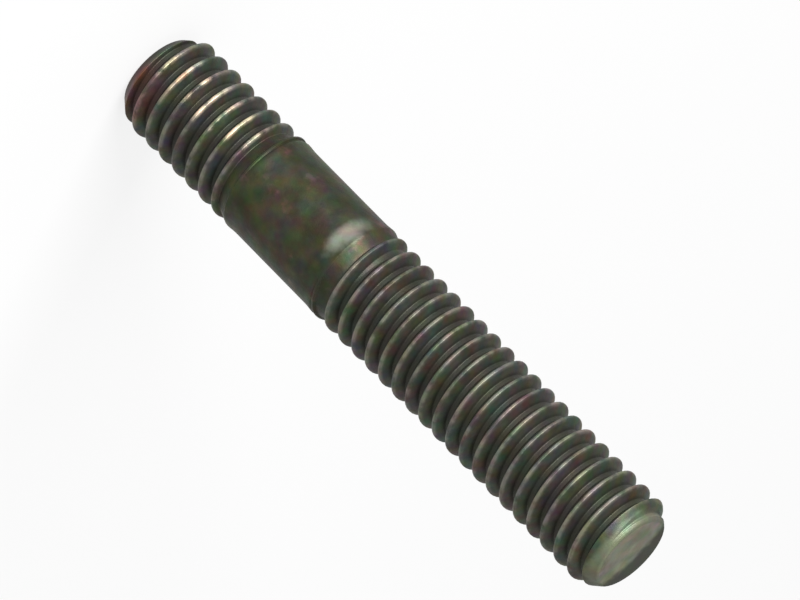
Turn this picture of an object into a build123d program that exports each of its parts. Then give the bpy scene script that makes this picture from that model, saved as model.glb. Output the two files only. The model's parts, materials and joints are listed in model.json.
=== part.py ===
from build123d import *
from math import ceil, radians, tan
import os

# A double-ended exhaust manifold stud, one piece of steel. A short 5/16-18 UNC thread screws into
# the cylinder head, a plain shank passes through the gasket, and a long 5/16-18 UNC thread takes
# the manifold flange and its nut. Z = 0 is the end face of the short thread, and +Z runs along
# the axis to the end face of the long one. Both threads are right-hand, with the basic profile of
# a unified thread, and each groove fades out over a cone before the shank.

# Driving dimensions, in millimetres and degrees
thread_major_diameter = 7.90  # over the crests, inside the class 2A limits for 5/16 in
threads_per_inch = 18
flank_angle = 60  # between the two sides of a groove
short_thread_length = 11.9  # from the end face to the end of the last groove
plain_length = 9.0  # between the threads, with a taper at each end
long_thread_length = 29.1
run_out_length = 2.1  # over which a groove fades to nothing
short_thread_angle = -6.7  # from +X to where the groove opens in its end face
long_thread_angle = 57.9
shank_diameter = 7.76
taper_length = 0.7  # from a thread's crests down to the shank
end_face_diameter = 6.00
chamfer_length = 1.25  # along the axis, at each end
edge_radius = 0.3  # between an end face and its chamfer

# Sizes that follow from them
crest_radius = thread_major_diameter / 2
shank_radius = shank_diameter / 2
end_face_radius = end_face_diameter / 2
long_thread_start = short_thread_length + plain_length
stud_length = long_thread_start + long_thread_length
pitch = 25.4 / threads_per_inch
flank_slope = tan(radians(flank_angle / 2))  # half-width gained for each unit of radius
root_half_width = pitch / 8
crest_width = pitch / 8
thread_depth = (pitch / 2 - crest_width / 2 - root_half_width) / flank_slope
root_radius = crest_radius - thread_depth
mouth_radius = crest_radius + 0.07 * pitch  # a groove's cutter stands clear of the crests
mouth_half_width = root_half_width + (mouth_radius - root_radius) * flank_slope


def half_section():
    # Half of the unthreaded bar's section: X is the radius and Y runs along the axis
    outline = Polyline(
        (0, 0),
        (end_face_radius, 0),
        (crest_radius, chamfer_length),
        (crest_radius, short_thread_length),
        (shank_radius, short_thread_length + taper_length),
        (shank_radius, long_thread_start - taper_length),
        (crest_radius, long_thread_start),
        (crest_radius, stud_length - chamfer_length),
        (end_face_radius, stud_length),
        (0, stud_length),
        close=True,
    )
    return make_face(outline)


def rounded_ends(section):
    # The section with its two end-face rims rounded
    rims = section.vertices().filter_by(lambda corner: abs(corner.X - end_face_radius) < 1e-6)
    return fillet(rims, edge_radius)


def bar():
    return revolve(Plane.XZ * rounded_ends(half_section()), Axis.Z, 360)


def half_turn(radius, height, count):
    # One of the successive half turns of a right-hand helix that starts on +X at a height
    start = Helix(pitch, pitch / 2, radius, center=(0, 0, height)).edge()
    return start.moved(Location((0, 0, count * pitch / 2), (0, 0, count * 180)))


def groove_edges(count):
    # The four corners of a groove's section, carried through one half turn
    return [
        half_turn(root_radius, -pitch - root_half_width, count),
        half_turn(root_radius, -pitch + root_half_width, count),
        half_turn(mouth_radius, -pitch + mouth_half_width, count),
        half_turn(mouth_radius, -pitch - mouth_half_width, count),
    ]


def groove_sides(count):
    # The root, a flank, the mouth and the other flank over one half turn
    edges = groove_edges(count)
    next_edges = edges[1:] + edges[:1]
    return [Face.make_surface_from_curves(*pair) for pair in zip(edges, next_edges)]


def groove_end(count, place):
    # The flat section at the start (0) or the end (1) of a half turn
    corners = [edge @ place for edge in groove_edges(count)]
    return Face(Wire.make_polygon(corners, close=True))


def groove(length):
    # Turns from one pitch outside the end face to past the thread's length
    count = ceil(2 * (length + pitch) / pitch)
    faces = [side for turn in range(count) for side in groove_sides(turn)]
    faces.append(groove_end(0, 0))
    faces.append(groove_end(count - 1, 1))
    return Solid(Shell(faces))


def run_out(length):
    # The cone that a groove fades out on, from the root to the crests, and the bar past it
    slope = thread_depth / run_out_length
    start = length - run_out_length
    lead = 0.1 * pitch
    past_mouth = mouth_radius + 0.05 * pitch
    outline = Polyline(
        (0, start - lead),
        (root_radius - lead * slope, start - lead),
        (past_mouth, start + (past_mouth - root_radius) / slope),
        (past_mouth, length + 2 * pitch),
        (0, length + 2 * pitch),
        close=True,
    )
    return revolve(Plane.XZ * make_face(outline), Axis.Z, 360)


def thread_cut(length, angle):
    # What is cut from the bar for a thread that starts at Z = 0 and runs up
    return Rotation(0, 0, angle) * groove(length) - run_out(length)


def stud():
    short_cut = thread_cut(short_thread_length, short_thread_angle)
    long_cut = thread_cut(long_thread_length, long_thread_angle)
    turned_over = Pos(0, 0, stud_length) * Rotation(180, 0, 0)
    return bar() - short_cut - turned_over * long_cut


os.makedirs("parts", exist_ok=True)
export_step(stud(), "parts/stud.step")
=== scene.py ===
import json
import math

import bpy
from mathutils import Matrix, Vector


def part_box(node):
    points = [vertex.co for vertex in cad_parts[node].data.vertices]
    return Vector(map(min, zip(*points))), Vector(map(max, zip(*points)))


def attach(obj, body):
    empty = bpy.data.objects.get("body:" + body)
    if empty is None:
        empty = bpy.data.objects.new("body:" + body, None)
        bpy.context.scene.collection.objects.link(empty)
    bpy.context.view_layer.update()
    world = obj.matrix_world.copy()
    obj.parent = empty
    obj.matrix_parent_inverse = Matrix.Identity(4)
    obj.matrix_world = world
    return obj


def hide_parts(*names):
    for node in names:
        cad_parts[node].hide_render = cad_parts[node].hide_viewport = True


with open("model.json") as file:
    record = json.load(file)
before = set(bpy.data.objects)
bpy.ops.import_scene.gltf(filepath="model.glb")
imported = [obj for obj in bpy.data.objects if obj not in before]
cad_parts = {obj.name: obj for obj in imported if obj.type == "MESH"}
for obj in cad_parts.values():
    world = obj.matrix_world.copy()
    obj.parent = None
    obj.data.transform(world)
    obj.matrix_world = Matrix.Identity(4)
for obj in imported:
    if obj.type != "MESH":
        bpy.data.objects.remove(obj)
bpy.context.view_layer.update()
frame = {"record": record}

# A double-ended exhaust manifold stud of dark, oiled steel. It stands on the short thread's end,
# with +Z towards the long thread's end and -Y towards the camera. Sizes are in millimetres until
# MM turns them into metres.
MM = 0.001

# The stud's sizes, read off the CAD part where it has them
low_corner, high_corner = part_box("stud")
LENGTH = (high_corner.z - low_corner.z) / MM
CREST_RADIUS = (high_corner.x - low_corner.x) / 2 / MM
mounts = {mount["name"]: mount for mount in frame["record"]["mounts"]}
SHANK_RADIUS = mounts["shank"]["dims"]["r_mm"]
SHANK_MIDDLE = mounts["shank"]["pos_m"][2] / MM
SHANK_HALF = mounts["shank"]["dims"]["length_mm"] / 2

# Thread form: 18 threads to the inch, 60 degree flanks, crest flat an eighth of the pitch
PITCH = 25.4 / 18
THREAD_DEPTH = 5 / 8 * PITCH * math.sqrt(3) / 2
ROOT_RADIUS = CREST_RADIUS - THREAD_DEPTH
CREST_HALF_WIDTH = PITCH / 16
FLANK_SLOPE = math.sqrt(3)
CORNER_ROUNDING = 0.05  # how much of a crest's or root's corner is blended away
RUN_OUT_LENGTH = 2.1  # over which the groove rises to the surface, beside the shank
TAPER_LENGTH = 0.7  # from the crests down to the shank
END_FACE_RADIUS = 3.0
CHAMFER_LENGTH = 1.25
EDGE_RADIUS = 0.3  # between an end face and its chamfer
SHORT_THREAD_END = SHANK_MIDDLE - SHANK_HALF - TAPER_LENGTH
LONG_THREAD_START = SHANK_MIDDLE + SHANK_HALF + TAPER_LENGTH
SHORT_CREST = 1.79  # height of a crest of each thread on the -Y side
LONG_CREST = 25.18

# Where the finish or the painted light differs: a middle, and how far it reaches from there along X, Y and Z
NO_LIMIT = 1e6
# The long thread's bare end face, with a painted highlight on the near side of its chamfer and painted shade
# on the face's far side
BARE_FACE_AND_PAINTED_LIGHT = ((0.15, -1.3, LENGTH), (3.9, 2.4, 1.2))
# A painted highlight on the shank, beside the long thread
PAINTED_SHANK_HIGHLIGHT = ((-1.4, -3.6, 20.15), (2.3, 4.0, 0.95))
PAINTED_CREST_HIGHLIGHT = ((-1.2, -3.7, 6.0), (2.2, 4.0, 7.0))  # where a painted highlight brightens the short thread's crests
# A painted orange glint on the short thread's crests
PAINTED_ORANGE_GLINT = ((-0.95, -3.8, 3.4), (0.7, 4.0, 0.6))
RUSTY_SIDE = ((2.2, -3.2, 0.4), (3.2, 4.0, 3.4))
GREENISH_END = ((0, 0, LENGTH), (NO_LIMIT, NO_LIMIT, 3.4))
MOTTLES_PER_METRE = 800

# The mesh: one column a row step, so that its diagonals run along the crests
COLUMNS = 48
ROW_STEP = PITCH / COLUMNS
SHANK_STEP = 0.2
ARC_STEPS = 5  # over an end face's rounded edge
FACE_RINGS = (0.25, 0.5, 0.75, 0.9)  # shares of an end face's flat radius


def smooth_min(a, b, width):
    """The lesser of a and b, blended over a width."""
    return min(a, b) - max(width - abs(a - b), 0) ** 2 / (4 * width)


def smooth_max(a, b, width):
    """The greater of a and b, blended over a width."""
    return -smooth_min(-a, -b, width)


def thread_radius(height, crest_height, turn):
    """Radius of the thread's surface at a height and a share of a turn from -Y."""
    offset = (height - crest_height) / PITCH - turn
    from_crest = abs(offset - round(offset)) * PITCH
    flank = CREST_RADIUS - (from_crest - CREST_HALF_WIDTH) * FLANK_SLOPE
    top = smooth_min(CREST_RADIUS, flank, CORNER_ROUNDING)
    return smooth_max(ROOT_RADIUS, top, CORNER_ROUNDING)


def blank_radius(height):
    """Radius of the stud without its threads."""
    from_end = min(height, LENGTH - height)
    chamfer = END_FACE_RADIUS + from_end * (CREST_RADIUS - END_FACE_RADIUS) / CHAMFER_LENGTH
    from_shank = max(SHANK_MIDDLE - SHANK_HALF - height, height - SHANK_MIDDLE - SHANK_HALF, 0)
    taper = SHANK_RADIUS + from_shank * (CREST_RADIUS - SHANK_RADIUS) / TAPER_LENGTH
    return min(chamfer, taper, CREST_RADIUS)


def surface_radius(height, turn):
    """Radius of the finished stud: the blank, cut by whichever thread reaches that height."""
    if height < SHANK_MIDDLE:
        thread = thread_radius(height, SHORT_CREST, turn)
        run_out = ROOT_RADIUS + (height - SHORT_THREAD_END + RUN_OUT_LENGTH) * THREAD_DEPTH / RUN_OUT_LENGTH
    else:
        thread = thread_radius(height, LONG_CREST, turn)
        run_out = ROOT_RADIUS + (LONG_THREAD_START + RUN_OUT_LENGTH - height) * THREAD_DEPTH / RUN_OUT_LENGTH
    return min(blank_radius(height), max(thread, run_out))


def end_rows():
    """(height above the end face, radius) of the rings from the face's middle over its rounded edge."""
    chamfer_angle = math.atan2(CREST_RADIUS - END_FACE_RADIUS, CHAMFER_LENGTH)
    sweep = math.pi / 2 - chamfer_angle
    flat_radius = END_FACE_RADIUS - EDGE_RADIUS * math.tan(sweep / 2)
    rows = [(0, flat_radius * share) for share in FACE_RINGS]
    for step in range(ARC_STEPS + 1):
        angle = sweep * step / ARC_STEPS
        rows.append((EDGE_RADIUS * (1 - math.cos(angle)), flat_radius + EDGE_RADIUS * math.sin(angle)))
    return rows


def heights_between(low, high, phase, step):
    """Heights above low and below high, in steps that keep to a phase."""
    first = math.floor((low - phase) / step) + 1
    last = math.ceil((high - phase) / step) - 1
    return [phase + step * index for index in range(first, last + 1)]


def ring_rows():
    """Every ring of the stud from end face to end face: its height and its radius at each column."""
    ends = end_rows()
    edge_height = ends[-1][0]
    rings = [(height, [radius] * COLUMNS) for height, radius in ends]
    heights = heights_between(edge_height, SHORT_THREAD_END, SHORT_CREST, ROW_STEP)
    heights += heights_between(SHORT_THREAD_END, LONG_THREAD_START, SHORT_THREAD_END, SHANK_STEP)
    heights += heights_between(LONG_THREAD_START, LENGTH - edge_height, LONG_CREST, ROW_STEP)
    for height in heights:
        rings.append((height, [surface_radius(height, column / COLUMNS) for column in range(COLUMNS)]))
    rings += [(LENGTH - height, [radius] * COLUMNS) for height, radius in reversed(ends)]
    return rings


def stud_mesh():
    """The threaded stud as one closed mesh, in metres."""
    rings = ring_rows()
    points = [(0, 0, 0)]
    for height, radii in rings:
        for column, radius in enumerate(radii):
            angle = 2 * math.pi * column / COLUMNS
            points.append((radius * math.sin(angle) * MM, -radius * math.cos(angle) * MM, height * MM))
    points.append((0, 0, LENGTH * MM))
    faces = []
    top = len(points) - 1
    for column in range(COLUMNS):
        after = (column + 1) % COLUMNS
        faces.append((0, 1 + after, 1 + column))
        last = 1 + (len(rings) - 1) * COLUMNS
        faces.append((top, last + column, last + after))
        for row in range(len(rings) - 1):
            here = 1 + row * COLUMNS
            above = here + COLUMNS
            faces.append((here + column, here + after, above + after))
            faces.append((here + column, above + after, above + column))
    mesh = bpy.data.meshes.new("threaded_stud")
    mesh.from_pydata(points, [], faces)
    mesh.shade_smooth()
    mesh.materials.append(dark_steel())
    mesh.materials.append(bare_steel())
    flat = 1e-7  # metres
    for face in mesh.polygons:
        from_end = min(face.center.z, LENGTH * MM - face.center.z)
        face.material_index = 1 if from_end < flat else 0
    return mesh


def add_stud():
    """The detailed stud, in the place of the CAD part."""
    piece = bpy.data.objects.new("threaded_stud", stud_mesh())
    bpy.context.scene.collection.objects.link(piece)
    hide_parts("stud")
    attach(piece, "root")


def node(tree, kind, **sockets):
    """A new node, with its unlinked inputs set by name."""
    made = tree.nodes.new(kind)
    for name, value in sockets.items():
        made.inputs[name.replace("_", " ")].default_value = value
    return made


def noise(tree, per_metre, detail, roughness=0.55, stretch=(1, 1, 1), seed=0.0):
    """Noise in the stud's own coordinates, with that many features to the metre."""
    place = tree.nodes.new("ShaderNodeTexCoord")
    mapping = node(tree, "ShaderNodeMapping", Scale=stretch, Location=(seed, seed, seed))
    texture = node(tree, "ShaderNodeTexNoise", Scale=per_metre, Detail=detail, Roughness=roughness)
    tree.links.new(place.outputs["Object"], mapping.inputs["Vector"])
    tree.links.new(mapping.outputs["Vector"], texture.inputs["Vector"])
    return texture.outputs["Fac"]


def ramp(tree, value, low, high):
    """0 at and below low, 1 at and above high, smooth between them."""
    made = tree.nodes.new("ShaderNodeMapRange")
    made.interpolation_type = "SMOOTHSTEP"
    made.inputs["From Min"].default_value = low
    made.inputs["From Max"].default_value = high
    tree.links.new(value, made.inputs["Value"])
    return made.outputs["Result"]


def product(tree, first, second):
    """Two masks multiplied."""
    made = tree.nodes.new("ShaderNodeMath")
    made.operation = "MULTIPLY"
    tree.links.new(first, made.inputs[0])
    tree.links.new(second, made.inputs[1])
    return made.outputs["Value"]


def raised(tree, value, by, share):
    """The value plus a share of another."""
    made = tree.nodes.new("ShaderNodeMath")
    made.operation = "MULTIPLY_ADD"
    made.inputs[1].default_value = share
    tree.links.new(by, made.inputs[0])
    tree.links.new(value, made.inputs[2])
    return made.outputs["Value"]


def distance_from(tree, centre, reach):
    """Distance from a middle, with X, Y and Z each divided by its reach."""
    place = tree.nodes.new("ShaderNodeTexCoord")
    scale = [1 / (MM * length) for length in reach]
    shift = [-point / length for point, length in zip(centre, reach)]
    mapping = node(tree, "ShaderNodeMapping", Scale=scale, Location=shift)
    length = tree.nodes.new("ShaderNodeVectorMath")
    length.operation = "LENGTH"
    tree.links.new(place.outputs["Object"], mapping.inputs["Vector"])
    tree.links.new(mapping.outputs["Vector"], length.inputs[0])
    return length.outputs["Value"]


def tinted(tree, under, tint, mask, blend="MIX"):
    """The colour under, turned to the tint, or multiplied by it, where the mask is 1."""
    made = tree.nodes.new("ShaderNodeMix")
    made.data_type = "RGBA"
    made.blend_type = blend
    tree.links.new(under, made.inputs["A"])
    made.inputs["B"].default_value = (*tint, 1)
    tree.links.new(mask, made.inputs["Factor"])
    return made.outputs["Result"]


def two_colours(tree, mask, low, high):
    """The colour low where the mask is 0, high where it is 1."""
    made = tree.nodes.new("ShaderNodeValToRGB")
    made.color_ramp.elements[0].color = (*low, 1)
    made.color_ramp.elements[1].color = (*high, 1)
    tree.links.new(mask, made.inputs["Fac"])
    return made.outputs["Color"]


def mottled(tree, colour, per_metre, strength):
    """The colour, with each of its channels varied by a noise of its own."""
    place = tree.nodes.new("ShaderNodeTexCoord")
    texture = node(tree, "ShaderNodeTexNoise", Scale=per_metre, Detail=2)
    tree.links.new(place.outputs["Object"], texture.inputs["Vector"])
    spread = tree.nodes.new("ShaderNodeVectorMath")
    spread.operation = "MULTIPLY_ADD"
    spread.inputs[1].default_value = [strength] * 3
    spread.inputs[2].default_value = [1 - strength / 2] * 3
    tree.links.new(texture.outputs["Color"], spread.inputs[0])
    made = tree.nodes.new("ShaderNodeVectorMath")
    made.operation = "MULTIPLY"
    tree.links.new(colour, made.inputs[0])
    tree.links.new(spread.outputs["Vector"], made.inputs[1])
    return made.outputs["Vector"]


def bumped(tree, shader, height, strength, depth):
    """Fine relief on the surface, as deep as that many millimetres."""
    bump = node(tree, "ShaderNodeBump", Strength=strength, Distance=depth * MM)
    tree.links.new(height, bump.inputs["Height"])
    tree.links.new(bump.outputs["Normal"], shader.inputs["Normal"])


def roughened(tree, shader, mask, low, high):
    """Roughness from low, where the mask is 0, to high."""
    made = tree.nodes.new("ShaderNodeMapRange")
    made.inputs["To Min"].default_value = low
    made.inputs["To Max"].default_value = high
    tree.links.new(mask, made.inputs["Value"])
    tree.links.new(made.outputs["Result"], shader.inputs["Roughness"])


def new_metal(name, metallic):
    """A new material, with its node tree and its shader."""
    material = bpy.data.materials.new(name)
    material.use_nodes = True
    shader = material.node_tree.nodes["Principled BSDF"]
    shader.inputs["Metallic"].default_value = metallic
    return material, material.node_tree, shader


def bare_face_and_painted_light(tree):
    """1 on the long thread's end face, but for its far side, and on the near side of its chamfer. Where it is
    1 the steel is bare, and the near side of the chamfer is lit with painted light; the face's far side is
    painted shade.
    """
    distance = distance_from(tree, *BARE_FACE_AND_PAINTED_LIGHT)
    ragged = raised(tree, distance, noise(tree, 900, 3, seed=23.0), 0.5)
    return ramp(tree, ragged, 1.42, 1.02)


def threaded(tree):
    """1 on both threads, 0 on the shank, its tapers and the last of the run-outs."""
    edge = SHANK_HALF + TAPER_LENGTH
    from_shank = distance_from(tree, (0, 0, SHANK_MIDDLE), (NO_LIMIT, NO_LIMIT, 1))
    return ramp(tree, from_shank, edge + 0.7, edge + 1.7)


def oiled(tree):
    """The colour of the oiled steel before any wear: olive on the shank, greyer on the threads."""
    cloudy = ramp(tree, noise(tree, 450, 5), 0.35, 0.65)
    colour = two_colours(tree, cloudy, (0.029, 0.0315, 0.0165), (0.044, 0.0445, 0.0255))
    colour = tinted(tree, colour, (0.070, 0.070, 0.055), threaded(tree))
    brown = ramp(tree, noise(tree, 700, 3, seed=3.1), 0.58, 0.74)
    colour = tinted(tree, colour, (0.075, 0.055, 0.040), brown)
    return mottled(tree, colour, MOTTLES_PER_METRE, 0.95)


def wear_and_painted_light_on_threads(tree, colour):
    """The colour with painted shade in the grooves, worn crests lightened also as a painted highlight, a
    brighter painted highlight on one side of the short thread's crests, and a painted orange glint.
    """
    radius = distance_from(tree, (0, 0, 0), (1, 1, NO_LIMIT))
    # Painted shade: the grooves darkened towards their roots
    groove = ramp(tree, radius, ROOT_RADIUS + 0.30, ROOT_RADIUS)
    colour = tinted(tree, colour, (0.040, 0.040, 0.031), groove)
    patches = ramp(tree, noise(tree, 900, 4, seed=7.7), 0.34, 0.66)
    crests = product(tree, ramp(tree, radius, CREST_RADIUS - 0.26, CREST_RADIUS - 0.02), threaded(tree))
    # Worn crests, lightened all round, which is also a painted highlight
    colour = tinted(tree, colour, (0.180, 0.170, 0.140), product(tree, crests, patches))
    # Painted highlight: the short thread's crests brighter on the lit side
    highlight_side = ramp(tree, distance_from(tree, *PAINTED_CREST_HIGHLIGHT), 1.0, 0.45)
    highlit_crests = product(tree, product(tree, crests, highlight_side), patches)
    colour = tinted(tree, colour, (0.680, 0.560, 0.410), highlit_crests)
    # Painted glint: an orange spot on the crests of the lit side
    glint = ramp(tree, distance_from(tree, *PAINTED_ORANGE_GLINT), 1.0, 0.3)
    return tinted(tree, colour, (0.52, 0.33, 0.21), product(tree, glint, crests))


def highlights_bare_face_and_stains(tree, colour):
    """The colour with a painted highlight on the shank, the bare end with its painted light, and a stain at
    each end.
    """
    # Painted highlight: a lighter patch on the lit side of the shank
    ragged = raised(tree, distance_from(tree, *PAINTED_SHANK_HIGHLIGHT), noise(tree, 1300, 3, seed=9.4), 0.6)
    colour = tinted(tree, colour, (0.190, 0.192, 0.154), ramp(tree, ragged, 1.35, 0.55))
    # Bare end face, and a painted highlight on the near side of its chamfer
    colour = tinted(tree, colour, (0.165, 0.170, 0.125), bare_face_and_painted_light(tree))
    rusty = ramp(tree, distance_from(tree, *RUSTY_SIDE), 1.0, 0.5)
    colour = tinted(tree, colour, (1.5, 0.88, 0.97), rusty, "MULTIPLY")
    greenish = ramp(tree, distance_from(tree, *GREENISH_END), 1.0, 0.6)
    return tinted(tree, colour, (0.97, 1.035, 0.92), greenish, "MULTIPLY")


def dark_steel():
    """Oiled, heat-darkened steel, worn and stained where it has been used, with painted shade in its grooves
    and painted highlights on its crests, shank and long end.
    """
    material, tree, shader = new_metal("dark_steel", 0.85)
    colour = highlights_bare_face_and_stains(tree, wear_and_painted_light_on_threads(tree, oiled(tree)))
    colour = mottled(tree, colour, MOTTLES_PER_METRE, 0.7)
    tree.links.new(colour, shader.inputs["Base Color"])
    roughened(tree, shader, noise(tree, 1500, 4, seed=1.3), 0.42, 0.64)
    bumped(tree, shader, noise(tree, 3500, 7, 0.65, seed=5.2), 0.55, 0.04)
    return material


def bare_steel():
    """The end faces: bare where bare_face_and_painted_light is 1, and dark on the rest of them, which on the
    long thread's end is painted shade on the face's far side.
    """
    material, tree, shader = new_metal("bare_steel", 0.8)
    cloudy = ramp(tree, noise(tree, 600, 4), 0.35, 0.65)
    bare = two_colours(tree, cloudy, (0.145, 0.150, 0.103), (0.215, 0.210, 0.160))
    # Painted shade: the far side of the long thread's end face darkened
    dark = tree.nodes.new("ShaderNodeInvert")
    tree.links.new(bare_face_and_painted_light(tree), dark.inputs["Color"])
    colour = tinted(tree, bare, (0.050, 0.054, 0.040), dark.outputs["Color"])
    colour = mottled(tree, colour, MOTTLES_PER_METRE, 0.7)
    tree.links.new(colour, shader.inputs["Base Color"])
    roughened(tree, shader, noise(tree, 1500, 4), 0.45, 0.65)
    bumped(tree, shader, noise(tree, 2500, 4, stretch=(1, 0.15, 1)), 0.4, 0.03)
    return material


def add_floor():
    """A plain pale floor, bright enough to show almost no shadow."""
    bpy.ops.mesh.primitive_plane_add(size=4)
    floor = bpy.context.object
    floor.name = "floor"
    material = bpy.data.materials.new("floor")
    material.use_nodes = True
    shader = material.node_tree.nodes["Principled BSDF"]
    shader.inputs["Base Color"].default_value = (0.11, 0.11, 0.11, 1)
    shader.inputs["Roughness"].default_value = 0.9
    shader.inputs["Emission Color"].default_value = (1, 1, 1, 1)
    shader.inputs["Emission Strength"].default_value = 0.80
    floor.data.materials.append(material)


def add_light(name, direction, distance, size, power):
    """A square area light that faces the stud's middle."""
    light = bpy.data.lights.new(name, "AREA")
    light.size = size
    light.energy = power
    lamp = bpy.data.objects.new(name, light)
    lamp.location = Vector((0, 0, LENGTH / 2 * MM)) + Vector(direction).normalized() * distance
    lamp.rotation_mode = "QUATERNION"
    lamp.rotation_quaternion = (-Vector(direction)).to_track_quat("-Z", "Y")
    bpy.context.scene.collection.objects.link(lamp)


def add_world():
    """Soft white light from all around."""
    world = bpy.data.worlds.new("studio")
    bpy.context.scene.world = world
    world.use_nodes = True
    background = world.node_tree.nodes["Background"]
    background.inputs["Color"].default_value = (1, 1, 1, 1)
    background.inputs["Strength"].default_value = 0.52


def add_camera():
    """A long lens that looks down on the long thread's end, rolled so that this end is at the lower right."""
    elevation = math.radians(23)
    roll = math.radians(135.43)
    lens = 600
    frame_width = 54.61  # across the picture, at the stud
    aside = 0.56  # from the stud's middle to the picture's
    above = 0.73
    data = bpy.data.cameras.new("camera")
    data.lens = lens
    data.sensor_width = 36
    data.clip_end = 10
    distance = lens / data.sensor_width * frame_width
    right = Vector((1, 0, 0))
    up = Vector((0, math.sin(elevation), math.cos(elevation)))
    back = right.cross(up)
    rolled_right = right * math.cos(roll) + up * math.sin(roll)
    rolled_up = up * math.cos(roll) - right * math.sin(roll)
    place = Vector((0, 0, LENGTH / 2)) + rolled_right * aside + rolled_up * above + back * distance
    turn = Matrix((rolled_right, rolled_up, back)).transposed().to_4x4()
    camera = bpy.data.objects.new("camera", data)
    camera.matrix_world = Matrix.Translation(place * MM) @ turn
    bpy.context.scene.collection.objects.link(camera)
    bpy.context.scene.camera = camera


add_stud()
add_floor()
add_light("key", (-0.6, -0.85, 0.45), 0.5, 0.30, 5.2)
add_light("overhead", (0.2, 0.2, 1.0), 0.8, 0.8, 2)
add_world()
add_camera()
bpy.context.scene.view_settings.view_transform = "Standard"
